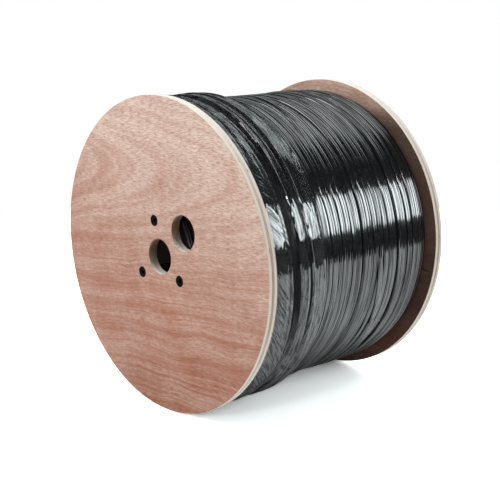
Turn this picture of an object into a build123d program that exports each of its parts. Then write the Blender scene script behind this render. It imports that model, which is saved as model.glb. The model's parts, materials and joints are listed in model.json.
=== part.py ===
"""Wooden cable drum: two plywood flanges on a fibreboard barrel, clamped by three tie bolts, full of cable."""

from build123d import *
from math import radians, tan
import os

# Flanges: round plywood discs
flange_diameter = 400.0
flange_thickness = 12.0
between_flanges = 280.0

# Barrel: a fibreboard tube that sits in a ring groove in each flange
barrel_diameter = 190.0
barrel_wall = 6.0
groove_depth = 4.0
groove_clearance = 0.3

# Holes through both flanges
arbor_hole_diameter = 45.0
drive_hole_diameter = 45.0
drive_hole_x = 46.5
drive_hole_y = 37.5

# Tie bolts, their heads and their sleeve nuts, sunk in the flanges
bolt_circle_radius = 45.5
bolt_angles = (103.0, 216.0, 328.0)
bolt_diameter = 8.0
bolt_hole_clearance = 0.25
head_diameter = 14.0
head_height = 5.0
head_pocket_clearance = 0.3
head_below_face = 0.8
head_bevel = 1.2
hex_socket_width = 6.0
hex_socket_depth = 3.0
nut_wall_at_end = 1.4
thread_clearance = 0.1

# Wound cable: bulging next to the front flange, then level to the rear one
winding_clearance = 0.3
winding_radius_at_front = 195.5
bulge_radius = 196.8
bulge_crest_depth = 78.0
bulge_foot_radius = 187.6
bulge_foot_depth = 120.0
winding_radius_at_rear = 186.0

# Stretch film over the bulge
film_thickness = 0.6
film_clearance = 0.2
film_width = 84.0

# Inner end of the flat twin cable, as a tube of its width, from the barrel's wall round its inside
cable_width = 9.2
tail_hole_clearance = 0.3
tail_hole_overrun = 20.0
arc_share_of_run = 0.45
# Each point is right of the axle, above it, and behind the front face
tail_points = [
    (-58, -70, 46),
    (-70, -28, 40),
    (-64, 24, 33),
    (-24, 62, 27),
    (22, 54, 22),
    (40, 16, 19),
]

# Worked out from the above
flange_radius = flange_diameter / 2
drum_width = between_flanges + 2 * flange_thickness
barrel_radius = barrel_diameter / 2
barrel_bore_radius = barrel_radius - barrel_wall
head_pocket_depth = head_below_face + head_height
rear_inside_depth = drum_width - flange_thickness

# The drum lies on its two rims: the axle is level, along Y, and the front flange faces -Y
front = Plane(origin=(0, -drum_width / 2, flange_radius), x_dir=(1, 0, 0), z_dir=(0, -1, 0))
rear = Plane(origin=(0, drum_width / 2, flange_radius), x_dir=(-1, 0, 0), z_dir=(0, 1, 0))


def section_of(face):
    """The half plane through the axle, drawn as (radius, depth below that face)."""
    return Plane(origin=face.origin, x_dir=face.x_dir, z_dir=face.y_dir)


def axle_of(face):
    return Axis(face.origin, -face.z_dir)


def bolt_places(side):
    """Centres of the bolt holes, seen from the front (side 1) or from the rear (side -1)."""
    return [
        (side * Vector(bolt_circle_radius, 0).rotate(Axis.Z, angle).X,
         Vector(bolt_circle_radius, 0).rotate(Axis.Z, angle).Y)
        for angle in bolt_angles
    ]


def flange(face, side):
    """A plywood disc below the given outside face, with its holes, bolt pockets and barrel groove."""
    inside = face.offset(-flange_thickness)
    with BuildPart() as disc:
        with BuildSketch(face):
            Circle(flange_radius)
            Circle(arbor_hole_diameter / 2, mode=Mode.SUBTRACT)
            with Locations((side * drive_hole_x, drive_hole_y)):
                Circle(drive_hole_diameter / 2, mode=Mode.SUBTRACT)
            with Locations(*bolt_places(side)):
                Circle(bolt_diameter / 2 + bolt_hole_clearance, mode=Mode.SUBTRACT)
        extrude(amount=-flange_thickness)
        with BuildSketch(face):
            with Locations(*bolt_places(side)):
                Circle(head_diameter / 2 + head_pocket_clearance)
        extrude(amount=-head_pocket_depth, mode=Mode.SUBTRACT)
        with BuildSketch(inside):
            Circle(barrel_radius + groove_clearance)
            Circle(barrel_bore_radius - groove_clearance, mode=Mode.SUBTRACT)
        extrude(amount=groove_depth, mode=Mode.SUBTRACT)
    return disc


def in_drum(right, up, depth):
    """A point given right of the axle, above it and behind the front face."""
    return front.from_local_coords(Vector(right, up, -depth))


def tail_radii(points):
    """One radius for each corner: as large as the two runs allow."""
    radii = []
    for before, corner, after in zip(points, points[1:], points[2:]):
        half_turn = (corner - before).get_angle(after - corner) / 2
        shorter = min((corner - before).length, (after - corner).length)
        radii.append(arc_share_of_run * shorter / tan(radians(half_turn)))
    return radii


os.makedirs("parts", exist_ok=True)

front_flange = flange(front, 1)
front_flange.part.label = "front_flange"
export_step(front_flange.part, "parts/front_flange.step")

rear_flange = flange(rear, -1)
rear_flange.part.label = "rear_flange"
export_step(rear_flange.part, "parts/rear_flange.step")

# Cable tail: straight runs joined by tangent arcs
corners = [in_drum(*point) for point in tail_points]
bend_radii = tail_radii(corners)
print("cable tail bend radii", [round(radius, 1) for radius in bend_radii])
with BuildPart() as cable_tail:
    with BuildLine() as route:
        FilletPolyline(*corners, radius=bend_radii)
    with BuildSketch(Plane(origin=corners[0], z_dir=corners[1] - corners[0])):
        Circle(cable_width / 2)
    sweep(path=route.line)
cable_tail.part.label = "cable_tail"
export_step(cable_tail.part, "parts/cable_tail.step")
print("cable tail length", round(route.wire().length, 1), "volume", round(cable_tail.part.volume, 1))

# Barrel, with the slanting hole where the cable's inner end comes through
with BuildPart() as barrel:
    with BuildSketch(front.offset(groove_depth - flange_thickness)):
        Circle(barrel_radius)
        Circle(barrel_bore_radius, mode=Mode.SUBTRACT)
    extrude(amount=-(between_flanges + 2 * groove_depth))
    with BuildSketch(Plane(origin=corners[0], z_dir=corners[0] - corners[1])):
        Circle(cable_width / 2 + tail_hole_clearance)
    extrude(amount=tail_hole_overrun, both=True, mode=Mode.SUBTRACT)
barrel.part.label = "barrel"
export_step(barrel.part, "parts/barrel.step")

# Half section of the wound cable, drawn as (radius, depth): its bore, the bulge and the level part
bore_radius = barrel_radius + winding_clearance
at_front = (winding_radius_at_front, flange_thickness)
crest = (bulge_radius, bulge_crest_depth)
foot = (bulge_foot_radius, bulge_foot_depth)
at_rear = (winding_radius_at_rear, rear_inside_depth)
with BuildSketch() as wound_section:
    with BuildLine():
        Polyline(
            (bore_radius, flange_thickness),
            at_front,
            crest,
            foot,
            at_rear,
            (bore_radius, rear_inside_depth),
            close=True,
        )
    make_face()

with BuildPart() as cable_winding:
    with BuildSketch(section_of(front)):
        add(wound_section.sketch)
    revolve(axis=axle_of(front))
cable_winding.part.label = "cable_winding"
export_step(cable_winding.part, "parts/cable_winding.step")

# Stretch film: a skin that follows the outside of the wound cable
under_film = offset(wound_section.sketch, film_clearance, kind=Kind.INTERSECTION)
over_film = offset(wound_section.sketch, film_clearance + film_thickness, kind=Kind.INTERSECTION)
with BuildPart() as stretch_film:
    with BuildSketch(section_of(front)):
        add(over_film)
        add(under_film, mode=Mode.SUBTRACT)
        with Locations((bore_radius, flange_thickness)):
            Rectangle(flange_radius, film_width, align=(Align.MIN, Align.MIN), mode=Mode.INTERSECT)
    revolve(axis=axle_of(front))
stretch_film.part.label = "stretch_film"
export_step(stretch_film.part, "parts/stretch_film.step")

# Tie bolts and their sleeve nuts
nut_seat_depth = drum_width - head_pocket_depth
bolt_end_depth = drum_width - head_below_face - nut_wall_at_end
for number, place in enumerate(bolt_places(1), 1):
    with BuildPart() as bolt:
        with BuildSketch(front.offset(-head_below_face)):
            with Locations(place):
                Circle(head_diameter / 2)
        extrude(amount=-head_height)
        chamfer(bolt.faces().sort_by(Axis(front.origin, front.z_dir))[-1].edges(), head_bevel)
        with BuildSketch(front.offset(-head_below_face)):
            with Locations(place):
                RegularPolygon(hex_socket_width / 2, 6, major_radius=False)
        extrude(amount=-hex_socket_depth, mode=Mode.SUBTRACT)
        with BuildSketch(front.offset(-head_pocket_depth)):
            with Locations(place):
                Circle(bolt_diameter / 2)
        extrude(amount=-(bolt_end_depth - thread_clearance - head_pocket_depth))
    bolt.part.label = f"tie_bolt_{number}"
    export_step(bolt.part, f"parts/tie_bolt_{number}.step")

    with BuildPart() as nut:
        with BuildSketch(front.offset(-nut_seat_depth)):
            with Locations(place):
                Circle(head_diameter / 2)
        extrude(amount=-head_height)
        chamfer(nut.faces().sort_by(Axis(front.origin, front.z_dir))[0].edges(), head_bevel)
        with BuildSketch(front.offset(-nut_seat_depth)):
            with Locations(place):
                Circle(bolt_diameter / 2 + thread_clearance)
        extrude(amount=-(bolt_end_depth - nut_seat_depth), mode=Mode.SUBTRACT)
    nut.part.label = f"tie_nut_{number}"
    export_step(nut.part, f"parts/tie_nut_{number}.step")
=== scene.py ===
"""Wooden cable drum: plywood flanges, wound twin cable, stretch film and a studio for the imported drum."""

import json
from math import cos, pi, radians, sin, sqrt

import bmesh
import bpy
import numpy as np
from bpy.props import FloatProperty, FloatVectorProperty, IntProperty, PointerProperty
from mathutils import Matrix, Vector, noise


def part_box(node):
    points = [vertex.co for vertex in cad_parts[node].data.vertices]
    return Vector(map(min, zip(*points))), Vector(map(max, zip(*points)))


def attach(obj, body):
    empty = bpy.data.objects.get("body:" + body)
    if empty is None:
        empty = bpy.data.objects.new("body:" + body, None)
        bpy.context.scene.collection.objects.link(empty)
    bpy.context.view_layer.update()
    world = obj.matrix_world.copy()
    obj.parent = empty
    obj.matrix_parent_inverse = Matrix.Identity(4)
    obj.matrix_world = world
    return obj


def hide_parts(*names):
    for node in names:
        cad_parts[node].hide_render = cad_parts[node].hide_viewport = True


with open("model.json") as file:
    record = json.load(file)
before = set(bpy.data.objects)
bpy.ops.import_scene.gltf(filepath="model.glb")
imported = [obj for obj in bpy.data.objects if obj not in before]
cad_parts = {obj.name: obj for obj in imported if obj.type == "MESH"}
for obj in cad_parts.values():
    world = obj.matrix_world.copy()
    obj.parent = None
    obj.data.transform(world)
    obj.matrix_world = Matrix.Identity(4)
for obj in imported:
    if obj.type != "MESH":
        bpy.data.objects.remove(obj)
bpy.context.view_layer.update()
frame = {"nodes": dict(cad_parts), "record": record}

bl_info = {
    "name": "Wooden cable drum",
    "version": (1, 0, 0),
    "blender": (4, 5, 0),
    "location": "3D View > Sidebar > Cable drum",
    "description": "Plywood flanges, wound twin cable, stretch film and a studio for the packed drum",
    "category": "Object",
}

MM = 0.001
BODY = "root"

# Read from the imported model: the front flange faces -Y and the axle is level along Y
FRONT_LOW, FRONT_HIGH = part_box("front_flange")
REAR_LOW, REAR_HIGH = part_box("rear_flange")
BARREL_LOW, BARREL_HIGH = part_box("barrel")
HEAD_BOXES = [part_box(f"tie_bolt_{number}") for number in (1, 2, 3)]
HEADS = [((low.x + high.x) / 2, (low.z + high.z) / 2, (high.x - low.x) / 2) for low, high in HEAD_BOXES]
RIM_RADIUS = (FRONT_HIGH.x - FRONT_LOW.x) / 2
AXLE_HEIGHT = (FRONT_HIGH.z + FRONT_LOW.z) / 2
BARREL_RADIUS = (BARREL_HIGH.x - BARREL_LOW.x) / 2
INSIDE_FRONT = FRONT_HIGH.y
INSIDE_REAR = REAR_LOW.y
HOLES = {mount["name"]: mount for mount in frame["record"]["mounts"]}
# Depths of the flanges' inside faces behind the front face, in millimetres
FRONT_DEPTH = 12
REAR_DEPTH = 292


# What all colours and all lengths in the panel have in common
COLOUR = {"min": 0, "max": 1, "subtype": "COLOR"}
LENGTH = {"unit": "LENGTH", "subtype": "DISTANCE"}


class CableDrumWood(bpy.types.PropertyGroup):
    """Plywood and fibreboard"""

    edge_round: FloatProperty(
        name="Edge rounding", description="How far the plywood's edges are broken",
        default=0.7 * MM, min=0.1 * MM, max=2 * MM, **LENGTH)
    rim_segments: IntProperty(
        name="Rim segments", description="Flat stretches round each flange's rim",
        default=288, min=64, max=720)
    hole_segments: IntProperty(
        name="Hole segments", description="Flat stretches round each hole", default=72, min=16, max=256)
    veneer_light: FloatVectorProperty(
        name="Light veneer", description="Pale parts of the face veneer",
        default=(0.685, 0.555, 0.48), **COLOUR)
    veneer_dark: FloatVectorProperty(
        name="Dark veneer", description="Reddish parts of the face veneer",
        default=(0.345, 0.132, 0.075), **COLOUR)
    core_pale: FloatVectorProperty(
        name="Pale core", description="Core plies seen along their grain",
        default=(0.82, 0.77, 0.7), **COLOUR)
    core_end_grain: FloatVectorProperty(
        name="Core end grain", description="Core plies seen across their grain",
        default=(0.26, 0.19, 0.125), **COLOUR)
    # Darker than the bare board: partly its own brown, partly painted shade inside the barrel
    board: FloatVectorProperty(
        name="Fibreboard", description="Wound board of the barrel",
        default=(0.07, 0.042, 0.025), **COLOUR)


class CableDrumCable(bpy.types.PropertyGroup):
    """Flat twin cable and its winding"""

    pitch: FloatProperty(
        name="Pitch", description="From one turn to the next, along the axle",
        default=9.3 * MM, min=4 * MM, max=30 * MM, **LENGTH)
    width: FloatProperty(
        name="Width", description="Width of the flat twin cable",
        default=8.9 * MM, min=4 * MM, max=30 * MM, **LENGTH)
    around: IntProperty(
        name="Points around", description="Points round one turn", default=168, min=64, max=720)
    wander: FloatProperty(
        name="Wander", description="How far the turns stray along the axle",
        default=1.3 * MM, min=0, max=6 * MM, **LENGTH)
    unevenness: FloatProperty(
        name="Unevenness", description="How far turns lie above or below each other",
        default=0.8 * MM, min=0, max=3 * MM, **LENGTH)
    jacket: FloatVectorProperty(
        name="Jacket", description="Black cable jacket", default=(0.006, 0.0065, 0.007), **COLOUR)


class CableDrumFilm(bpy.types.PropertyGroup):
    """Stretch film next to the front flange"""

    thickness: FloatProperty(
        name="Thickness", description="All layers of the film together",
        default=0.25 * MM, min=0.05 * MM, max=1 * MM, **LENGTH)
    crinkle: FloatProperty(
        name="Crinkle", description="Height of the film's small folds",
        default=0.45 * MM, min=0, max=3 * MM, **LENGTH)
    tint: FloatVectorProperty(
        name="Tint", description="Film over black cable", default=(0.004, 0.0042, 0.0045), **COLOUR)


class CableDrumStudio(bpy.types.PropertyGroup):
    """Camera, lamps and floor"""

    camera_place: FloatVectorProperty(
        name="Camera place", description="Where the camera stands", default=(1.0821, -0.9775, 0.5466),
        subtype="TRANSLATION", unit="LENGTH")
    camera_target: FloatVectorProperty(
        name="Camera target", description="What the camera points at", default=(0.0735, -0.0673, 0.2079),
        subtype="TRANSLATION", unit="LENGTH")
    lens: FloatProperty(
        name="Lens", description="Focal length on a 36 mm sensor",
        default=81.095, min=20, max=300, unit="CAMERA")
    floor_radius: FloatProperty(
        name="Floor radius", description="Radius of the pale floor", default=1.22, min=0.3, max=10,
        **LENGTH)


def new_object(name, data):
    """Puts a mesh, curve, lamp or camera in the scene under that name."""
    piece = bpy.data.objects.new(name, data)
    bpy.context.scene.collection.objects.link(piece)
    return piece


def settle(piece, slot, *nodes):
    """The piece moves with the drum and stands for the CAD nodes, which it hides. The slot is not used."""
    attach(piece, BODY)
    if nodes:
        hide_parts(*nodes)
    return piece


def on_drum(radius, angle, y):
    """Points at a radius from the axle, an angle from +X towards +Z, and a place along the axle."""
    radius, angle, y = np.broadcast_arrays(radius, angle, y)
    return np.stack([radius * np.cos(angle), y, AXLE_HEIGHT + radius * np.sin(angle)], axis=-1)


def solid_mesh(name, points, faces):
    """A mesh whose faces all look out of the solid."""
    mesh = bpy.data.meshes.new(name)
    mesh.from_pydata(points, [], faces)
    work = bmesh.new()
    work.from_mesh(mesh)
    bmesh.ops.recalc_face_normals(work, faces=work.faces)
    work.to_mesh(mesh)
    work.free()
    return mesh


def smooth_mesh(name, points, faces, sharp):
    """A solid mesh, smooth but for its edges past an angle in degrees."""
    mesh = solid_mesh(name, points, faces)
    mesh.polygons.foreach_set("use_smooth", [True] * len(mesh.polygons))
    mesh.set_sharp_from_angle(angle=radians(sharp))
    return mesh


def ring_mesh(name, columns):
    """A mesh from columns of points, each closed round the axle, and the last joined to the first."""
    count, around, _ = columns.shape
    here = np.arange(count * around).reshape(count, around)
    there = np.roll(here, -1, axis=0)
    quads = np.stack([here, np.roll(here, -1, axis=1), np.roll(there, -1, axis=1), there], axis=-1)
    return smooth_mesh(name, columns.reshape(-1, 3).tolist(), quads.reshape(-1, 4).tolist(), 55)


def tube_faces(rings, count):
    """Faces of a closed tube made of rings of points, with that many points in each ring."""
    faces = [tuple(range(count)), tuple(range((rings - 1) * count, rings * count))]
    for here in range(0, (rings - 1) * count, count):
        there = here + count
        for i in range(count):
            ahead = (i + 1) % count
            faces.append((here + i, here + ahead, there + ahead, there + i))
    return faces


def angles(count):
    """That many angles evenly round the axle."""
    return np.arange(count) / count * 2 * pi


def round_noise(angle, waves, place):
    """A smooth noise from -1 to 1 that closes on itself round the drum, finer with more waves."""
    return noise.noise(Vector((cos(angle) * waves, sin(angle) * waves, place)))


def final_mesh(piece):
    """A new mesh of a curve, or of a mesh with its modifiers."""
    graph = bpy.context.evaluated_depsgraph_get()
    return bpy.data.meshes.new_from_object(piece.evaluated_get(graph))


class Nodes:
    """Short ways to add nodes to a material's or a group's tree."""

    def __init__(self, tree):
        self.tree = tree

    def add(self, kind, inputs=None, **settings):
        """A node with its settings, and its inputs given as values or as the sockets that feed them."""
        made = self.tree.nodes.new(kind)
        for name, value in settings.items():
            setattr(made, name, value)
        for name, value in (inputs or {}).items():
            self.feed(made.inputs[name], value)
        return made

    def feed(self, socket, value):
        """Links a socket, or sets its value."""
        if isinstance(value, bpy.types.NodeSocket):
            self.tree.links.new(value, socket)
        else:
            socket.default_value = value

    def math(self, operation, *values, clamp=False):
        """The result of a Math node."""
        made = self.add("ShaderNodeMath", dict(enumerate(values)), operation=operation, use_clamp=clamp)
        return made.outputs[0]

    def plus(self, first, second, clamp=False):
        """The sum of two numbers."""
        return self.math("ADD", first, second, clamp=clamp)

    def minus(self, first, second, clamp=False):
        """The first number less the second."""
        return self.math("SUBTRACT", first, second, clamp=clamp)

    def times(self, first, second):
        """The product of two numbers."""
        return self.math("MULTIPLY", first, second)

    def ramp(self, value, low, high):
        """0 below low and 1 above high, with a smooth step between."""
        made = self.add(
            "ShaderNodeMapRange", {"Value": value, "From Min": low, "From Max": high},
            interpolation_type="SMOOTHSTEP")
        return made.outputs["Result"]

    def mix(self, share, first, second, blend="MIX"):
        """Two colours mixed by a share from 0 to 1."""
        made = self.add("ShaderNodeMix", data_type="RGBA", blend_type=blend)
        self.feed(made.inputs[0], share)
        for socket, value in ((made.inputs[6], first), (made.inputs[7], second)):
            self.feed(socket, value if isinstance(value, bpy.types.NodeSocket) else (*value, 1))
        return made.outputs[2]

    def mix_value(self, share, first, second):
        """Two numbers mixed by a share from 0 to 1."""
        return self.add("ShaderNodeMix", {0: share, 2: first, 3: second}).outputs[0]

    def vector(self, x, y, z):
        """A vector from three numbers."""
        return self.add("ShaderNodeCombineXYZ", {"X": x, "Y": y, "Z": z}).outputs[0]

    def scaled(self, place, factors):
        """A vector from three numbers, each times its own factor."""
        return self.vector(*(self.times(value, factor) for value, factor in zip(place, factors)))

    def noise(self, vector, scale=1.0, detail=2.0, roughness=0.5, distortion=0.0):
        """A noise from 0 to 1."""
        made = self.add("ShaderNodeTexNoise", {
            "Vector": vector, "Scale": scale, "Detail": detail, "Roughness": roughness,
            "Distortion": distortion})
        return made.outputs[0]

    def sway(self, vector, scale, detail, reach):
        """A noise from minus half its reach to plus half."""
        return self.times(self.minus(self.noise(vector, scale, detail), 0.5), reach)

    def lines(self, value, sharpness):
        """Thin lines, 1 high, where a noise passes its middle value."""
        off_middle = self.math("ABSOLUTE", self.minus(value, 0.5))
        return self.minus(1.0, self.times(off_middle, sharpness), clamp=True)

    def place(self):
        """X, Y and Z of the surface point in millimetres, in the drum's frame."""
        coordinates = self.add("ShaderNodeTexCoord").outputs["Object"]
        scaled = self.add(
            "ShaderNodeVectorMath", {0: coordinates, 1: (1000, 1000, 1000)}, operation="MULTIPLY").outputs[0]
        return self.add("ShaderNodeSeparateXYZ", {0: scaled}).outputs


def bare_nodes(owner):
    """The emptied node tree of a material or of a world, as Nodes."""
    owner.use_nodes = True
    owner.node_tree.nodes.clear()
    return Nodes(owner.node_tree)


def new_group(name, inputs, outputs):
    """An empty shader group of floats: its Nodes, its input sockets and its output node."""
    tree = bpy.data.node_groups.new(name, "ShaderNodeTree")
    for label, value in inputs.items():
        tree.interface.new_socket(label, in_out="INPUT", socket_type="NodeSocketFloat").default_value = value
    for label in outputs:
        tree.interface.new_socket(label, in_out="OUTPUT", socket_type="NodeSocketFloat")
    nodes = Nodes(tree)
    return nodes, nodes.add("NodeGroupInput").outputs, nodes.add("NodeGroupOutput")


def wood_figure_group():
    """Growth rings cut as a nested arch, with fibres and pores that follow them."""
    if "Wood figure" in bpy.data.node_groups:
        return bpy.data.node_groups["Wood figure"]
    nodes, given, out = new_group(
        "Wood figure",
        {"Along": 0.0, "Across": 0.0, "Arch width": 10.0, "Arch start": 270.0, "Seed": 0.0},
        ["Rings", "Fibres", "Pores", "Clouds"])
    along, across, seed = given["Along"], given["Across"], given["Seed"]
    flat = nodes.vector(along, across, seed)
    stretched = nodes.vector(nodes.times(along, 0.45), across, seed)
    bend = nodes.sway(flat, 0.009, 1.5, 24.0)
    ripple = nodes.sway(stretched, 0.06, 3.0, 4.0)
    bent = nodes.plus(nodes.plus(across, bend), ripple)
    from_start = nodes.math("MAXIMUM", nodes.plus(along, given["Arch start"]), 0.0)
    reach = nodes.times(nodes.times(from_start, 2.0), given["Arch width"])
    ring = nodes.math("SQRT", nodes.plus(nodes.times(bent, bent), reach))
    slow = nodes.times(along, 0.003)
    broad = nodes.noise(nodes.vector(nodes.times(ring, 0.075), slow, seed), 1.0, 3.0, 0.5)
    fine = nodes.noise(nodes.vector(nodes.times(ring, 0.26), slow, seed), 1.0, 2.0, 0.6)
    rings = nodes.plus(nodes.times(broad, 0.5), nodes.times(fine, 0.5))
    nodes.feed(out.inputs["Rings"], nodes.ramp(rings, 0.36, 0.64))
    lie = nodes.plus(across, nodes.times(nodes.plus(bend, ripple), 0.7))
    fibre_place = nodes.vector(nodes.times(lie, 0.6), nodes.times(along, 0.09), seed)
    nodes.feed(out.inputs["Fibres"], nodes.ramp(nodes.noise(fibre_place, 1.0, 4.0, 0.7), 0.3, 0.7))
    pore_place = nodes.vector(
        nodes.times(lie, 1.05), nodes.times(along, 0.12), nodes.plus(seed, 7.0))
    nodes.feed(out.inputs["Pores"], nodes.ramp(nodes.noise(pore_place, 1.0, 1.5, 0.5), 0.53, 0.66))
    nodes.feed(out.inputs["Clouds"], nodes.ramp(nodes.noise(flat, 0.02, 2.0), 0.3, 0.7))
    return nodes.tree


def speckle_group():
    """Fine dust and scuffs as a mask from 0 to 1."""
    if "Speckle" in bpy.data.node_groups:
        return bpy.data.node_groups["Speckle"]
    nodes, given, out = new_group("Speckle", {"Scale": 1.0, "Least": 0.6, "Most": 0.75}, ["Mask"])
    coordinates = nodes.add("ShaderNodeTexCoord").outputs["Object"]
    grain = nodes.noise(coordinates, given["Scale"], 3.0, 0.65)
    nodes.feed(out.inputs["Mask"], nodes.ramp(grain, given["Least"], given["Most"]))
    return nodes.tree


# Colours that the finishes are mixed with, or multiplied by where they are named as shades
FIBRE_SHADE = (0.7, 0.57, 0.51)
PORE = (0.29, 0.095, 0.055)
# Painted shade for the flanges' inside faces
INSIDE_PAINTED_SHADE = (0.12, 0.1, 0.074)
GLUE = (0.19, 0.10, 0.05)
VOID = (0.13, 0.06, 0.03)
# Painted shade for the holes' walls
HOLE_PAINTED_SHADE = (0.5, 0.38, 0.29)
STRIP_JOINT = (0.06, 0.03, 0.015)
DRAWN_WHITE = (0.2, 0.21, 0.215)
STEEL = (0.002, 0.002, 0.002)
WORN_STEEL = (0.02, 0.02, 0.021)


def new_material(name, constants):
    """A material with only a Principled shader, with constants on it: its Nodes and the shader's inputs."""
    material = bpy.data.materials.new(name)
    material.use_nodes = True
    shader = next(node for node in material.node_tree.nodes if node.type == "BSDF_PRINCIPLED")
    for label, value in constants.items():
        shader.inputs[label].default_value = value
    return material, Nodes(material.node_tree), shader.inputs


def speckles(nodes, scale, least, most):
    """The speckle group's mask in a material."""
    given = {"Scale": scale, "Least": least, "Most": most}
    return nodes.add("ShaderNodeGroup", given, node_tree=speckle_group()).outputs["Mask"]


def bump(nodes, height, distance, strength=1.0):
    """A normal from a height in the given distance, in metres."""
    made = nodes.add("ShaderNodeBump", {"Height": height, "Distance": distance, "Strength": strength})
    return made.outputs[0]


def veneer_material(name, arch_x, arch_z, seed, inside=False):
    """Face veneer, its arch placed in millimetres from the axle; an inside face has painted shade below its
    top.
    """
    wood = bpy.context.scene.cable_drum_wood
    material, nodes, shader = new_material(name, {"Specular IOR Level": 0.3})
    x, _, z = nodes.place()
    across = nodes.minus(nodes.minus(z, nodes.times(x, 0.06)), AXLE_HEIGHT / MM + arch_z)
    given = {"Along": nodes.minus(x, arch_x), "Across": across, "Seed": seed}
    figure = nodes.add("ShaderNodeGroup", given, node_tree=wood_figure_group()).outputs
    height = nodes.ramp(nodes.plus(z, nodes.times(x, 0.12)), 100, 400)
    low_red = nodes.times(nodes.minus(1.0, height), 0.64)
    tone = nodes.plus(nodes.times(figure["Rings"], 0.35), low_red)
    tone = nodes.plus(tone, nodes.times(figure["Clouds"], 0.14))
    # Inside faces get a darker tone than outside faces: partly their own tone, partly painted shade
    tone = nodes.plus(tone, 0.08 if inside else -0.14, clamp=True)
    colour = nodes.mix(tone, tuple(wood.veneer_light), tuple(wood.veneer_dark))
    colour = nodes.mix(figure["Fibres"], colour, FIBRE_SHADE, "MULTIPLY")
    colour = nodes.mix(nodes.times(figure["Pores"], 0.48), colour, PORE)
    if inside:
        # Painted shade on the inside faces below their top band, lighter again near their bottom
        unshaded = nodes.plus(nodes.ramp(z, 342, 402), nodes.times(nodes.ramp(z, 120, 40), 0.2))
        colour = nodes.mix(unshaded, nodes.mix(1.0, colour, INSIDE_PAINTED_SHADE, "MULTIPLY"), colour)
    nodes.feed(shader["Base Color"], colour)
    nodes.feed(shader["Roughness"], nodes.plus(nodes.times(figure["Rings"], -0.08), 0.66))
    relief = nodes.minus(nodes.times(figure["Fibres"], 0.4), figure["Pores"])
    nodes.feed(shader["Normal"], bump(nodes, relief, 0.12 * MM, 0.5))
    return material


# Plywood, in millimetres: a face veneer, a core ply, and where the outer veneer ends and the inner one begins
VENEER = 0.6
PLY = 3.6
OUTER_END = 0.7
INNER_START = 11.45
# Pitch of the barrel's wound strips, in millimetres
STRIP_PITCH = 95.0


def ply_edge_material(name, y_face, into):
    """A flange's edge and hole walls: plies by depth from its outside face, long grain or end grain, and
    painted shade on hole walls that face down.
    """
    wood = bpy.context.scene.cable_drum_wood
    material, nodes, shader = new_material(name, {"Roughness": 0.78, "Specular IOR Level": 0.25})
    x, y, z = nodes.place()
    depth = nodes.times(nodes.minus(y, y_face / MM), into)
    place = nodes.vector(x, y, z)
    depth = nodes.plus(depth, nodes.sway(place, 0.02, 1.0, 0.7))
    normal = nodes.add("ShaderNodeSeparateXYZ", {0: nodes.add("ShaderNodeNewGeometry").outputs["Normal"]})
    endwise = nodes.times(normal.outputs[0], normal.outputs[0])
    ply = nodes.math("DIVIDE", nodes.minus(depth, VENEER), PLY)
    odd = nodes.math("ROUND", nodes.math("PINGPONG", nodes.math("FLOOR", ply), 1.0))
    other = nodes.plus(nodes.times(endwise, 0.4), 0.12)
    end_grain = nodes.mix_value(odd, other, endwise)
    from_axle = nodes.add("ShaderNodeVectorMath", {
        0: nodes.vector(x, 0.0, nodes.minus(z, AXLE_HEIGHT / MM))}, operation="LENGTH").outputs["Value"]
    in_hole = nodes.math("LESS_THAN", from_axle, BARREL_RADIUS / MM)
    walls = nodes.plus(nodes.times(endwise, 1.2), nodes.times(odd, 0.25))
    end_grain = nodes.mix_value(in_hole, end_grain, walls)
    streak = nodes.noise(nodes.scaled((x, y, z), (0.05, 2.4, 0.05)), 1.0, 3.0)
    end_grain = nodes.times(end_grain, nodes.plus(nodes.times(streak, 1.3), 0.3))
    colour = nodes.mix(end_grain, tuple(wood.core_pale), tuple(wood.core_end_grain))
    seam = nodes.math("ABSOLUTE", nodes.minus(nodes.math("FRACT", ply), 0.5))
    seam = nodes.times(nodes.ramp(seam, 0.44, 0.5), nodes.ramp(nodes.noise(place, 0.035, 2.0), 0.35, 0.6))
    colour = nodes.mix(nodes.times(seam, 0.75), colour, GLUE)
    outer = nodes.math("LESS_THAN", depth, OUTER_END)
    inner = nodes.math("GREATER_THAN", depth, INNER_START)
    skin = nodes.times(nodes.math("MAXIMUM", outer, inner), 0.6)
    colour = nodes.mix(skin, colour, tuple(wood.veneer_light))
    voids = nodes.ramp(nodes.noise(nodes.scaled((x, y, z), (0.09, 0.55, 0.09)), 1.0, 1.0), 0.72, 0.76)
    colour = nodes.mix(nodes.times(voids, 0.8), colour, VOID)
    # Painted shade: hole walls are darker the further they face down
    hole_shade = nodes.times(in_hole, nodes.ramp(normal.outputs[2], 0.9, -0.3))
    colour = nodes.mix(hole_shade, colour, HOLE_PAINTED_SHADE, "MULTIPLY")
    nodes.feed(shader["Base Color"], colour)
    relief = nodes.minus(nodes.times(streak, 0.5), nodes.math("MAXIMUM", seam, voids))
    nodes.feed(shader["Normal"], bump(nodes, relief, 0.25 * MM, 0.6))
    return material


def board_material():
    """Fibreboard barrel with the slanting joints of its wound strips."""
    wood = bpy.context.scene.cable_drum_wood
    material, nodes, shader = new_material("fibreboard", {"Roughness": 0.8})
    x, y, z = nodes.place()
    place = nodes.vector(x, y, z)
    up = nodes.minus(z, AXLE_HEIGHT / MM)
    turn = nodes.math("DIVIDE", nodes.math("ARCTAN2", up, x), 2 * pi)
    strip = nodes.math("FRACT", nodes.plus(nodes.math("DIVIDE", y, STRIP_PITCH), turn))
    joint = nodes.ramp(nodes.math("ABSOLUTE", nodes.minus(strip, 0.5)), 0.488, 0.498)
    fibres = nodes.noise(place, 0.8, 4.0, 0.7)
    # The board's colour carries painted shade inside the barrel
    colour = nodes.mix(fibres, tuple(wood.board), tuple(channel * 1.5 for channel in wood.board))
    colour = nodes.mix(nodes.times(joint, 0.6), colour, STRIP_JOINT)
    nodes.feed(shader["Base Color"], colour)
    nodes.feed(shader["Normal"], bump(nodes, nodes.minus(fibres, joint), 0.3 * MM, 0.5))
    return material


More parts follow.
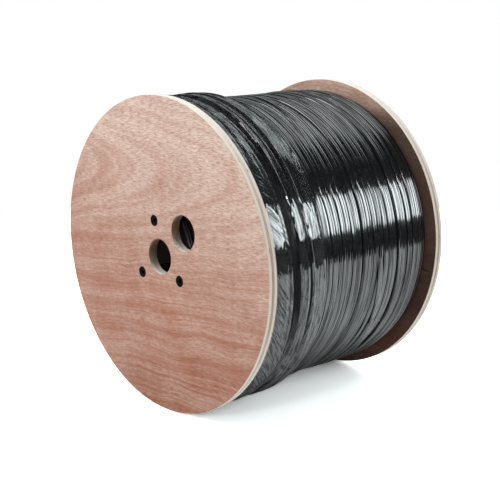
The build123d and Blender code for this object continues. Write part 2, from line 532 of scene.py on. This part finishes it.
def jacket_material():
    """Glossy black cable jacket with faint rubbed marks, and painted shade beside the rear flange."""
    cable = bpy.context.scene.cable_drum_cable
    material, nodes, shader = new_material(
        "cable_jacket", {"Specular IOR Level": 0.18, "Coat Roughness": 0.085, "Coat IOR": 1.75})
    x, y, z = nodes.place()
    along_turns = nodes.scaled((y, x, z), (0.24, 0.009, 0.009))
    shine = nodes.ramp(nodes.noise(along_turns, 1.0, 3.0, 0.65), 0.34, 0.58)
    rubbed = speckles(nodes, 240.0, 0.5, 0.75)
    light = tuple(channel * 2.6 for channel in cable.jacket)
    nodes.feed(shader["Base Color"], nodes.mix(rubbed, tuple(cable.jacket), light))
    nodes.feed(shader["Roughness"], nodes.plus(nodes.times(rubbed, 0.08), 0.14))
    relief = nodes.noise(nodes.vector(x, y, z), 0.9, 2.0)
    nodes.feed(shader["Normal"], bump(nodes, relief, 0.02 * MM, 0.08))
    shine = nodes.plus(nodes.times(shine, 0.88), 0.12)
    # Painted shade: the coat fades on the last turns beside the rear flange, where they lie in shadow
    flange_shade = nodes.ramp(y, INSIDE_REAR / MM - 11, INSIDE_REAR / MM - 3)
    nodes.feed(shader["Coat Weight"], nodes.times(shine, nodes.minus(1.0, nodes.times(flange_shade, 0.85))))
    return material


def film_material():
    """Clear stretch film drawn over black cable, crinkled, milky along its folds, its ridges whitened partly
    as painted highlight, and painted shade in its valleys.
    """
    film = bpy.context.scene.cable_drum_film
    material, nodes, shader = new_material(
        "stretch_film", {"Specular IOR Level": 0.08, "Coat Roughness": 0.05, "Coat IOR": 1.75})
    x, y, z = nodes.place()
    angle = nodes.math("ARCTAN2", nodes.minus(z, AXLE_HEIGHT / MM), x)
    depth = nodes.minus(y, FRONT_LOW.y / MM)
    arc = nodes.times(angle, 1000 * RIM_RADIUS)
    slanted = nodes.plus(arc, nodes.times(depth, 1.3))
    drawn_place = nodes.vector(nodes.times(slanted, 0.3), nodes.times(depth, 0.06), 0.0)
    drawn = nodes.noise(drawn_place, 1.0, 3.0, 0.6, 0.3)
    round_place = nodes.vector(nodes.times(arc, 0.045), nodes.times(depth, 0.32), 4.0)
    creases = nodes.noise(round_place, 1.0, 4.0, 0.65, 0.5)
    sharp = nodes.lines(creases, 15.0)
    rucked = nodes.lines(drawn, 13.0)
    fine = nodes.noise(nodes.vector(x, y, z), 0.3, 4.0, 0.65, 0.8)
    fold = nodes.add("ShaderNodeAttribute", attribute_name="fold").outputs["Fac"]
    # Fold ridges are whitened: partly milky stretched film, partly painted highlight
    ridge = nodes.ramp(fold, 0.45, 0.9)
    # Painted shade in the fold valleys, fading towards the top and the bottom: they lose milkiness and coat,
    # and grow more opaque
    at_side = nodes.times(nodes.ramp(z, 385, 325), nodes.ramp(z, 70, 170))
    valley_shade = nodes.times(nodes.ramp(fold, -0.2, -0.75), at_side)
    near_flange = nodes.ramp(depth, 50, 36)
    far_edge = nodes.ramp(depth, 72, 92)
    drawn_tight = nodes.times(nodes.math("MAXIMUM", sharp, rucked), nodes.ramp(creases, 0.4, 0.65))
    streaks = nodes.times(nodes.ramp(drawn, 0.6, 0.68), near_flange)
    milky = nodes.math("MAXIMUM", nodes.times(drawn_tight, 0.12), nodes.times(streaks, 0.7))
    milky = nodes.times(milky, nodes.minus(1.0, valley_shade))
    milky = nodes.math("MAXIMUM", milky, ridge)
    nodes.feed(shader["Base Color"], nodes.mix(milky, tuple(film.tint), DRAWN_WHITE))
    nodes.feed(shader["Roughness"], nodes.plus(nodes.times(fine, 0.08), 0.05))
    relief = nodes.times(rucked, near_flange)
    relief = nodes.plus(relief, nodes.times(sharp, 0.6))
    lumps = nodes.times(fine, nodes.plus(nodes.times(far_edge, 1.2), 0.08))
    relief = nodes.plus(relief, lumps)
    nodes.feed(shader["Normal"], bump(nodes, relief, 0.8 * MM, 0.8))
    nodes.feed(shader["Alpha"], nodes.plus(nodes.times(valley_shade, 0.14), 0.86))
    clear = nodes.ramp(nodes.mix_value(near_flange, creases, drawn), 0.4, 0.56)
    clear = nodes.plus(nodes.times(clear, 0.75), 0.25)
    nodes.feed(shader["Coat Weight"], nodes.times(clear, nodes.minus(1.0, valley_shade)))
    return material


def steel_material():
    """Black fastener steel, worn to grey on a few spots."""
    if "fastener_steel" in bpy.data.materials:
        return bpy.data.materials["fastener_steel"]
    material, nodes, shader = new_material("fastener_steel", {"Specular IOR Level": 0.06})
    worn = speckles(nodes, 700.0, 0.58, 0.7)
    nodes.feed(shader["Base Color"], nodes.mix(worn, STEEL, WORN_STEEL))
    nodes.feed(shader["Roughness"], nodes.minus(0.62, nodes.times(worn, 0.2)))
    return material


def cylinder(name, radius, segments, y_low, y_high, x, z):
    """A closed cylinder along Y, used to cut a hole."""
    points = []
    for y in (y_low, y_high):
        points += [(x + radius * cos(a), y, z + radius * sin(a)) for a in angles(segments)]
    return new_object(name, solid_mesh(name, points, tube_faces(2, segments)))


# Rim of a flange: its plies, their largest step and the faces' one in millimetres, its inset and roughness
RIM_PLIES = 6
RIM_STEP = 0.14
FACE_STEP = 0.05
RIM_INSET = 0.12 * MM
RIM_ROUGHNESS = 0.1 * MM


def ply_disc(name, y_low, y_high, seed):
    """A disc along Y whose rim shows its plies as slight steps and has small knocks."""
    segments = bpy.context.scene.cable_drum_wood.rim_segments
    angle = angles(segments)
    shares = np.linspace(0, 1, 2 * RIM_PLIES + 1)
    steps = np.random.default_rng(seed).uniform(-RIM_STEP, 0.0, len(shares)) * MM
    steps[[0, -1]] = -FACE_STEP * MM
    columns = []
    for share, step in zip(shares, steps):
        rough = np.array([RIM_ROUGHNESS * round_noise(a, 40, share * 6 + seed) for a in angle])
        radius = RIM_RADIUS - RIM_INSET + step + rough
        columns.append(on_drum(radius, angle, y_low + (y_high - y_low) * share))
    points = np.array(columns).reshape(-1, 3).tolist()
    return new_object(name, solid_mesh(name, points, tube_faces(len(columns), segments)))


# Sunk bolts: depth of their pockets, gap round their heads, and radii of their holes and of the black steel
# finish round them
POCKET_DEPTH = 5.8 * MM
POCKET_GAP = 0.1 * MM
BOLT_HOLE_RADIUS = 4.25 * MM
BLACKENED_RADIUS = 8.2 * MM
# Flat stretches round a pocket and round a bolt hole
POCKET_SEGMENTS = 32
BOLT_HOLE_SEGMENTS = 24
# How far cutters reach past the faces, and how far from a face its own polygons may be
CUTTER_OVERRUN = 5 * MM
FACE_REACH = 2 * MM
# Each flange's outer and inner veneer: its name, the arch's place in millimetres from the axle, and its seed
VENEERS = {
    "ply_front": (("veneer_front", 0, 108, 2.0), ("veneer_inside_front", 60, -70, 21.0)),
    "ply_rear": (("veneer_rear", -30, 40, 9.0), ("veneer_inside_rear", 0, 60, 14.0)),
}


class CABLEDRUM_OT_flanges(bpy.types.Operator):
    """Builds both plywood flanges with their holes and the bolts' pockets"""

    bl_idname = "object.cable_drum_flanges"
    bl_label = "Plywood flanges"

    def cut(self, disc, cutters):
        """Cuts the holes, breaks the sharp edges and applies both."""
        for cutter in cutters:
            boolean = disc.modifiers.new(cutter.name, "BOOLEAN")
            boolean.operation = "DIFFERENCE"
            boolean.solver = "EXACT"
            boolean.object = cutter
        bevel = disc.modifiers.new("edges", "BEVEL")
        bevel.width = bpy.context.scene.cable_drum_wood.edge_round
        bevel.segments = 2
        bevel.limit_method = "ANGLE"
        bevel.angle_limit = radians(50)
        mesh = final_mesh(disc)
        disc.modifiers.clear()
        disc.data = mesh
        for cutter in cutters:
            bpy.data.objects.remove(cutter)
        return mesh

    def finish(self, polygon, outside, thickness):
        """Which finish a polygon takes: 0 edge, 1 outside face, 2 inside face or 3 black steel round a bolt.
        """
        centre = polygon.center
        for x, z, _ in HEADS:
            if sqrt((centre.x - x) ** 2 + (centre.z - z) ** 2) < BLACKENED_RADIUS:
                return 3
        from_outside = abs(centre.y - outside)
        if abs(polygon.normal.y) > 0.9:
            if from_outside < FACE_REACH:
                return 1
            if abs(from_outside - thickness) < FACE_REACH:
                return 2
        return 0

    def flange(self, name, node, low, high, outside, seed):
        """One flange between two places along Y, with its outside face on the given side."""
        disc = ply_disc(name, low, high, seed)
        into = 1 if outside < 0 else -1
        segments = bpy.context.scene.cable_drum_wood.hole_segments
        through = (low - CUTTER_OVERRUN, high + CUTTER_OVERRUN)
        cutters = []
        for mount in ("arbor_hole", "front_drive_hole"):
            x, _, z = HOLES[mount]["pos_m"]
            radius = HOLES[mount]["dims"]["r_mm"] * MM
            cutters.append(cylinder(f"cut_{mount}", radius, segments, *through, x, z))
        pocket = sorted((outside + into * POCKET_DEPTH, outside - into * CUTTER_OVERRUN))
        for number, (x, z, radius) in enumerate(HEADS):
            cutters += [
                cylinder(f"cut_pocket_{number}", radius + POCKET_GAP, POCKET_SEGMENTS, *pocket, x, z),
                cylinder(f"cut_bolt_{number}", BOLT_HOLE_RADIUS, BOLT_HOLE_SEGMENTS, *through, x, z),
            ]
        mesh = self.cut(disc, cutters)
        outer, inner = VENEERS[name]
        edge = ply_edge_material(f"ply_edge_{name}", outside, into)
        faces = veneer_material(*outer), veneer_material(*inner, inside=True)
        for material in (edge, *faces, steel_material()):
            mesh.materials.append(material)
        for polygon in mesh.polygons:
            polygon.material_index = self.finish(polygon, outside, high - low)
            polygon.use_smooth = True
        mesh.set_sharp_from_angle(angle=radians(40))
        return settle(disc, "plywood", node)

    def execute(self, context):
        self.flange("ply_front", "front_flange", FRONT_LOW.y, FRONT_HIGH.y, FRONT_LOW.y, 3)
        self.flange("ply_rear", "rear_flange", REAR_LOW.y, REAR_HIGH.y, REAR_HIGH.y, 8)
        return {"FINISHED"}


def smooth(value, zero, one):
    """0 at one place and 1 at another, with a smooth step between."""
    share = np.clip((value - zero) / (one - zero), 0, 1)
    return share * share * (3 - 2 * share)


# Outside of the wound cable, in millimetres: depths behind the front face, and radii there
DEPTHS = (12, 20, 27, 34, 38, 42, 46, 50, 58, 62, 65, 68, 76, 84, 92, 100, 116, 130, 170, 220, 276, 284, 292)
RADII = (195.6, 196.4, 196.9, 196.6, 195.0, 193.2, 193.4, 195.8, 196.4, 195.8, 195.3, 196.4, 196.8, 195.6,
         193.4, 191.2, 188.9, 187.7, 187.4, 187.8, 186.2, 184.4, 181.0)
# Round the drum the bulge's steps slip back: not at all at this angle in degrees, and by this many
# millimetres opposite, coming and going between these depths
SLIP_NONE = 65
SLIP = 22
SLIP_START = (12, 48)
SLIP_END = (118, 78)


def steps_place(depth, angle):
    """Depth at which the outline above has what lies at this depth and angle."""
    slipped = 0.5 - 0.5 * np.cos(angle - radians(SLIP_NONE))
    return depth - SLIP * slipped * smooth(depth, *SLIP_START) * smooth(depth, *SLIP_END)


def outline_radius(depth, angle):
    """Outside of the wound cable, in metres, by depth in millimetres and angle."""
    return np.interp(steps_place(depth, angle), DEPTHS, RADII) * MM


def drift(turns, angle, rng, waves, spread):
    """Smooth random numbers by turn and angle, about 1 high, alike on turns within the spread."""
    reach = int(3 * spread) + 1
    kernel = np.exp(-0.5 * (np.arange(-reach, reach + 1) / spread) ** 2)
    kernel /= sqrt((kernel ** 2).sum())
    total = np.zeros((turns, len(angle)))
    for wave in range(waves):
        for trig in (np.cos, np.sin):
            random = np.convolve(rng.normal(size=turns + 2 * reach), kernel, mode="valid")
            total += random[:turns, None] * trig(wave * angle)[None, :] / (1 + 0.35 * wave)
    return total / total.std()


# Half of the twin cable's upper side, from its outside edge: place across and height, in lobe radii
LOBE = [(-1.98, -0.5), (-1.88, 0.12), (-1.68, 0.55), (-1.4, 0.83), (-1.05, 0.95), (-0.7, 1.0), (-0.34, 0.97),
        (-0.13, 0.82)]
WEB = (0.0, 0.62)
UPPER_SIDE = LOBE + [WEB] + [(-across, high) for across, high in reversed(LOBE)]
SECTION = UPPER_SIDE + [(-across, -high) for across, high in UPPER_SIDE]

# Film: its first depth, about its last, and where it presses the turns in fully, in millimetres
FILM_START = 12.1
FILM_END = 96.0
PRESSED_END = 90
# Below the outline: bottom of the gaps between turns, edge of the ends, middle of a crossing turn
GAP_DEPTH = 4.6 * MM
END_DEPTH = 4 * MM
CROSSING_DEPTH = 0.9 * MM
# Gaps to the flanges and to the barrel
FLANGE_GAP = 0.05 * MM
BARREL_GAP = 0.3 * MM
# Full width of a turn, in lobe radii
TURN_WIDTH = 4.02
# How far whole turns lie above or below the rest, and how far the film presses them in, in millimetres
LIFTS = [0.5, 0.1, -0.5, -1.2]
PRESSED_IN = 2.4
# The most that any part of a turn stands up, how far single turns stray, and how much they lean
MOST_LIFT = 0.9 * MM
SINGLE_STRAY = 0.25 * MM
LEAN = 0.07
# Crossing turns: start and sweep in degrees, first and last depth in millimetres
CROSSINGS = (
    (18, 100, 132, 158),
    (150, 70, 176, 197),
    (-78, 96, 226, 199),
    (64, 66, 249, 231),
    (236, 84, 118, 143),
)
CROSSING_RINGS = 72
# Share of a crossing turn in which it rises out of the layer, and in which it sinks back
RISE_SHARE = 0.3


class CABLEDRUM_OT_winding(bpy.types.Operator):
    """Builds the wound twin cable turn by turn, and the few turns that cross the others"""

    bl_idname = "object.cable_drum_winding"
    bl_label = "Wound cable"

    def layer(self):
        """The outer layer as one closed mesh with its bore."""
        cable = bpy.context.scene.cable_drum_cable
        angle = angles(cable.around)
        rng = np.random.default_rng(11)
        length = INSIDE_REAR - INSIDE_FRONT
        turns = round(length / cable.pitch)
        pitch = length / turns
        lobe = cable.width / 4
        ends = np.clip(np.minimum(np.arange(turns + 1), turns - np.arange(turns + 1)) / 2.0, 0, 1)[:, None]
        strays = drift(turns + 1, angle, rng, waves=6, spread=2.0) * cable.wander
        strays += drift(turns + 1, angle, rng, waves=9, spread=0.3) * SINGLE_STRAY
        edges = np.arange(turns + 1)[:, None] * pitch + strays * ends
        lift = drift(turns, angle, rng, waves=7, spread=0.3) * cable.unevenness
        lift += rng.choice(LIFTS, size=turns)[:, None] * MM
        lean = drift(turns, angle, rng, waves=8, spread=0.4) * LEAN
        at_front, at_rear = INSIDE_FRONT + FLANGE_GAP, INSIDE_REAR - FLANGE_GAP
        columns = [on_drum(outline_radius(FRONT_DEPTH, angle) - END_DEPTH, angle, at_front)]
        for turn in range(turns):
            middle = (edges[turn] + edges[turn + 1]) / 2
            room = edges[turn + 1] - edges[turn]
            squeeze = np.minimum(1.0, room / (TURN_WIDTH * lobe))
            depth = FRONT_DEPTH + middle / MM
            under_film = PRESSED_IN * MM * smooth(depth, FILM_END, PRESSED_END)
            outside = outline_radius(depth, angle)
            top = outside - lobe + np.minimum(lift[turn], MOST_LIFT) - under_film
            for across, high in UPPER_SIDE:
                radius = top + lobe * (high + across * lean[turn])
                columns.append(on_drum(radius, angle, INSIDE_FRONT + middle + across * lobe * squeeze))
            if turn < turns - 1:
                gap = outline_radius(FRONT_DEPTH + edges[turn + 1] / MM, angle) - GAP_DEPTH
                columns.append(on_drum(gap, angle, INSIDE_FRONT + edges[turn + 1]))
        columns.append(on_drum(outline_radius(REAR_DEPTH, angle) - END_DEPTH, angle, at_rear))
        columns += [on_drum(BARREL_RADIUS + BARREL_GAP, angle, y) for y in (at_rear, at_front)]
        return ring_mesh("wound_cable", np.array(columns))

    def crossing(self, start, sweep, first, last):
        """Rings of points of one stretch of cable that rides over the layer."""
        lobe = bpy.context.scene.cable_drum_cable.width / 4
        share = np.linspace(0, 1, CROSSING_RINGS)
        angle = np.radians(start + sweep * share)
        depth = first + (last - first) * (share - np.sin(2 * pi * share) / (2 * pi))
        over = smooth(np.minimum(share, 1 - share), 0, RISE_SHARE)
        centre = outline_radius(depth, angle) - GAP_DEPTH + over * (GAP_DEPTH - CROSSING_DEPTH)
        y = INSIDE_FRONT + (depth - FRONT_DEPTH) * MM
        lines = [on_drum(centre + lobe * high, angle, y + across * lobe) for across, high in SECTION]
        return np.array(lines).transpose(1, 0, 2)

    def execute(self, context):
        material = jacket_material()
        layer = self.layer()
        layer.materials.append(material)
        settle(new_object("wound_cable", layer), "cable_jacket", "cable_winding")
        points, faces = [], []
        for route in CROSSINGS:
            turn = self.crossing(*route)
            rings, count, _ = turn.shape
            faces += [[corner + len(points) for corner in face] for face in tube_faces(rings, count)]
            points += turn.reshape(-1, 3).tolist()
        mesh = smooth_mesh("crossing_turns", points, faces, 60)
        mesh.materials.append(material)
        settle(new_object("crossing_turns", mesh), "cable_jacket")
        return {"FINISHED"}


# Long folds of the film: place in the outline above, height, half width and how far it strays, in millimetres
FOLDS = (
    (19, -0.5, 1.5, 4),
    (24, 0.6, 1.3, 5),
    (30, -0.5, 1.6, 5),
    (42.5, -1.6, 6.2, 1.5),
    (50, 1.1, 1.0, 2),
    (55, -0.5, 1.5, 3),
    (59, 0.5, 1.2, 3),
    (64, -1.4, 1.6, 2),
    (68, 1.2, 0.9, 2),
    (76, -0.4, 2.0, 3),
    (85, 0.6, 1.4, 3),
)

# Points of the film round the drum and across it
FILM_AROUND = 420
FILM_ACROSS = 96
# Millimetres from the outline to the film, and its free edge's waves: reach, number and place in the noise
FILM_LIFT = 0.5
EDGE_WAVES = ((2.2, 9, 3.3), (1.4, 46, 8.1))
# Depths in millimetres, and the share of the small folds' height at each
CRINKLE_SHARES = (12, 18, 36, 50, 80, 96), (0.25, 1.0, 0.8, 0.3, 0.3, 0.9)


class CABLEDRUM_OT_film(bpy.types.Operator):
    """Builds the crinkled stretch film over the bulging cable"""

    bl_idname = "object.cable_drum_film"
    bl_label = "Stretch film"

    def execute(self, context):
        film = context.scene.cable_drum_film
        angle = angles(FILM_AROUND)
        edge = np.full(FILM_AROUND, FILM_END)
        for reach, waves, place in EDGE_WAVES:
            edge += [reach * round_noise(a, waves, place) for a in angle]
        outer, inner, heights = [], [], []
        for share in np.linspace(0, 1, FILM_ACROSS):
            depth = FILM_START + (edge - FILM_START) * share
            small = np.array([self.crinkles(d, a) for d, a in zip(depth, angle)])
            small *= np.interp(depth, *CRINKLE_SHARES) * film.crinkle
            folds = self.folds(depth, angle) * smooth(depth, 12, 16)
            radius = outline_radius(depth, angle) + (FILM_LIFT + folds) * MM + small
            y = INSIDE_FRONT + (depth - FRONT_DEPTH) * MM
            outer.append(on_drum(radius, angle, y))
            inner.append(on_drum(radius - film.thickness, angle, y))
            heights.append(folds)
        mesh = ring_mesh("film_wrap", np.array(outer + inner[::-1]))
        stored = mesh.attributes.new("fold", "FLOAT", "POINT")
        stored.data.foreach_set("value", np.array(heights + heights[::-1]).ravel())
        mesh.materials.append(film_material())
        settle(new_object("film_wrap", mesh), "film", "stretch_film")
        return {"FINISHED"}

    def folds(self, depth, angle):
        """Height in millimetres of the long folds, each a ridge or a groove that strays as it goes round."""
        depth = steps_place(depth, angle)
        height = np.zeros_like(depth)
        for number, (at, high, width, stray) in enumerate(FOLDS):
            path = at + np.array([stray * round_noise(a, 1.3, number * 4.7) for a in angle])
            fade = 0.85 + np.array([0.5 * round_noise(a, 2, number * 3.1 + 50) for a in angle])
            height += high * fade * np.exp(-((depth - path) / width) ** 2)
        return height

    def crinkles(self, depth, angle):
        """Height of the folds at a depth in millimetres and an angle, about 1 high."""
        turned = angle + depth * 0.006
        long_fold = round_noise(angle, 3, depth * 0.22)
        slant = round_noise(turned, 14, depth * 0.22)
        short = round_noise(turned, 30, depth * 0.35 + 9)
        return 0.35 * long_fold + 0.8 * max(0, 1 - 6 * abs(slant)) + 0.5 * max(0, 1 - 5 * abs(short))


class CABLEDRUM_OT_barrel(bpy.types.Operator):
    """Gives the barrel, the tie bolts and their nuts their finish"""

    bl_idname = "object.cable_drum_barrel"
    bl_label = "Barrel and bolts"

    def execute(self, context):
        steel = steel_material()
        finishes = {f"tie_{piece}_{number}": steel for piece in ("bolt", "nut") for number in (1, 2, 3)}
        finishes["barrel"] = board_material()
        for node, material in finishes.items():
            slots = frame["nodes"][node].material_slots
            for slot in slots:
                slot.material = material
            if not slots:
                frame["nodes"][node].data.materials.append(material)
        return {"FINISHED"}


# Route of the cable's inner end from the barrel's wall: right of the axle, above it, behind the front face
TAIL_POINTS = [
    (-58, -70, 46),
    (-70, -28, 40),
    (-64, 24, 33),
    (-24, 62, 27),
    (22, 54, 22),
    (40, 16, 19),
]


class CABLEDRUM_OT_tail(bpy.types.Operator):
    """Builds the inner end of the cable inside the barrel"""

    bl_idname = "object.cable_drum_tail"
    bl_label = "Cable tail"

    def route(self):
        """Points along the route's smooth line."""
        curve = bpy.data.curves.new("tail_route", "CURVE")
        curve.dimensions = "3D"
        spline = curve.splines.new("NURBS")
        spline.points.add(len(TAIL_POINTS) - 1)
        for point, (right, up, depth) in zip(spline.points, TAIL_POINTS):
            point.co = (right * MM, FRONT_LOW.y + depth * MM, AXLE_HEIGHT + up * MM, 1)
        spline.order_u = 3
        spline.use_endpoint_u = True
        spline.resolution_u = 16
        line = new_object("tail_route", curve)
        mesh = final_mesh(line)
        points = [vertex.co.copy() for vertex in mesh.vertices]
        bpy.data.objects.remove(line)
        bpy.data.meshes.remove(mesh)
        return points

    def execute(self, context):
        cable = context.scene.cable_drum_cable
        lobe = cable.width / 4
        path = self.route()
        points = []
        for number, point in enumerate(path):
            ahead = path[min(number + 1, len(path) - 1)] - path[max(number - 1, 0)]
            ahead.normalize()
            across = Vector((0, 1, 0)) - ahead * ahead.y
            across.normalize()
            high = ahead.cross(across)
            points += [tuple(point + across * a * lobe + high * h * lobe) for a, h in SECTION]
        mesh = smooth_mesh("tail_cable", points, tube_faces(len(path), len(SECTION)), 60)
        mesh.materials.append(bpy.data.materials["cable_jacket"])
        tail = settle(new_object("tail_cable", mesh), "cable_jacket", "cable_tail")
        return {"FINISHED"}


# Soft light of the world, and how much less of it reflections see
WORLD_LIGHT = 0.48
WORLD_LOSS = 0.45
# Millimetres from the axle where reflections see a painted shadow on the floor, and the floor bright again
FLOOR_PAINTED_SHADOW = (80, 190)
COOL = (0.9, 0.98, 1.0)
PLAIN = (1, 1, 1)
MIDDLE = (0, 0, AXLE_HEIGHT)
# Each lamp's place, target, size, watts and colour, and whether reflections and matt surfaces show its light
LAMPS = {
    "overhead": ((-0.13, 2.55, 2.2), (-0.13, 2.55, 0), (1.54, 3.7), 41, COOL, True, True),
    "ceiling": ((-2.4, 2.55, 2.2), (-2.4, 2.55, 0), (3.0, 3.7), 26, COOL, True, True),
    "strip": ((2.0, 1.95, 1.03), (0, 1.95, 1.03), (7.7, 1.08), 265, COOL, True, False),
    "side": ((2.0, 2.5, 1.03), (0, 2.5, 1.03), (6.6, 1.08), 72, PLAIN, False, True),
    "key": ((-0.7, -1.7, 2.1), MIDDLE, (1.6, 1.2), 33.5, PLAIN, True, True),
    "front": ((-2.1, -1.9, 1.2), MIDDLE, (2.2, 1.6), 15, PLAIN, True, True),
    "fill": ((0.9, -2.3, 1.1), MIDDLE, (0.25, 0.25), 9, PLAIN, True, True),
}


class CABLEDRUM_OT_stage(bpy.types.Operator):
    """Builds the floor, the lamps, the world and the camera"""

    bl_idname = "object.cable_drum_stage"
    bl_label = "Studio"

    def floor(self):
        """Pale round floor that shows white to the camera and keeps the drum's shadow; to reflections it
        shows a painted shadow near the axle and painted light beyond.
        """
        studio = bpy.context.scene.cable_drum_studio
        mesh = bpy.data.meshes.new("floor")
        work = bmesh.new()
        bmesh.ops.create_circle(work, cap_ends=True, segments=128, radius=studio.floor_radius)
        work.to_mesh(mesh)
        work.free()
        material = bpy.data.materials.new("floor")
        nodes = bare_nodes(material)
        ray = nodes.add("ShaderNodeLightPath").outputs
        level = nodes.plus(nodes.times(ray["Is Camera Ray"], 1.3), 0.9)
        # Painted shadow and light for reflections only: dark near the axle, brighter than the lamps make it
        # beyond
        x = nodes.math("ABSOLUTE", nodes.place()[0])
        reflected_floor = nodes.minus(nodes.times(nodes.ramp(x, *FLOOR_PAINTED_SHADOW), 1.3), 0.6)
        level = nodes.plus(level, nodes.times(ray["Is Glossy Ray"], reflected_floor))
        dimmed = nodes.times(level, 0.96)
        paint = nodes.add("ShaderNodeBsdfDiffuse", {"Color": nodes.vector(dimmed, level, level)})
        nodes.add("ShaderNodeOutputMaterial", {"Surface": paint.outputs[0]})
        mesh.materials.append(material)
        new_object("floor", mesh)

    def lamp(self, name, place, target, size, power, colour, in_reflections, on_matt):
        """A flat soft lamp that the camera itself doesn't see."""
        data = bpy.data.lights.new(name, "AREA")
        data.shape = "RECTANGLE"
        data.size, data.size_y = size
        data.energy = power
        data.color = colour
        lamp = new_object(name, data)
        lamp.location = place
        lamp.rotation_euler = (Vector(target) - Vector(place)).to_track_quat("-Z", "Y").to_euler()
        lamp.visible_camera = False
        lamp.visible_glossy = in_reflections
        lamp.visible_diffuse = on_matt

    def world(self):
        """White to the camera, dim to reflections and soft to the rest."""
        world = bpy.data.worlds.new("studio")
        bpy.context.scene.world = world
        nodes = bare_nodes(world)
        ray = nodes.add("ShaderNodeLightPath").outputs
        level = nodes.minus(WORLD_LIGHT, nodes.times(ray["Is Glossy Ray"], WORLD_LOSS))
        level = nodes.math("MAXIMUM", level, ray["Is Camera Ray"])
        shine = nodes.add("ShaderNodeBackground", {"Color": (1, 1, 1, 1), "Strength": level})
        nodes.add("ShaderNodeOutputWorld", {"Surface": shine.outputs[0]})

    def camera(self):
        """The photograph's camera."""
        studio = bpy.context.scene.cable_drum_studio
        data = bpy.data.cameras.new("camera")
        data.lens = studio.lens
        data.clip_start = 0.01
        camera = new_object("camera", data)
        camera.location = studio.camera_place
        aim = Vector(studio.camera_target) - camera.location
        camera.rotation_mode = "QUATERNION"
        camera.rotation_quaternion = aim.to_track_quat("-Z", "Y")
        bpy.context.scene.camera = camera

    def execute(self, context):
        self.floor()
        self.world()
        self.camera()
        for name, settings in LAMPS.items():
            self.lamp(name, *settings)
        context.scene.view_settings.view_transform = "Standard"
        return {"FINISHED"}


class CABLEDRUM_PT_panel(bpy.types.Panel):
    """Cable drum sizes, colours and steps"""

    bl_label = "Cable drum"
    bl_idname = "CABLEDRUM_PT_panel"
    bl_space_type = "VIEW_3D"
    bl_region_type = "UI"
    bl_category = "Cable drum"

    def draw(self, context):
        for group in GROUPS:
            column = self.layout.column(align=True)
            for name in GROUPS[group].__annotations__:
                column.prop(getattr(context.scene, group), name)
        for operator in OPERATORS:
            self.layout.operator(operator.bl_idname)


GROUPS = {
    "cable_drum_wood": CableDrumWood,
    "cable_drum_cable": CableDrumCable,
    "cable_drum_film": CableDrumFilm,
    "cable_drum_studio": CableDrumStudio,
}
OPERATORS = (
    CABLEDRUM_OT_stage,
    CABLEDRUM_OT_flanges,
    CABLEDRUM_OT_winding,
    CABLEDRUM_OT_film,
    CABLEDRUM_OT_barrel,
    CABLEDRUM_OT_tail,
)
CLASSES = (*GROUPS.values(), *OPERATORS, CABLEDRUM_PT_panel)


def register():
    for cls in CLASSES:
        bpy.utils.register_class(cls)
    for name, group in GROUPS.items():
        setattr(bpy.types.Scene, name, PointerProperty(type=group))


def unregister():
    for name in GROUPS:
        delattr(bpy.types.Scene, name)
    for cls in reversed(CLASSES):
        bpy.utils.unregister_class(cls)


def main():
    register()
    bpy.ops.object.cable_drum_stage()
    bpy.ops.object.cable_drum_flanges()
    bpy.ops.object.cable_drum_winding()
    bpy.ops.object.cable_drum_film()
    bpy.ops.object.cable_drum_barrel()
    bpy.ops.object.cable_drum_tail()


if __name__ == "__main__":
    main()
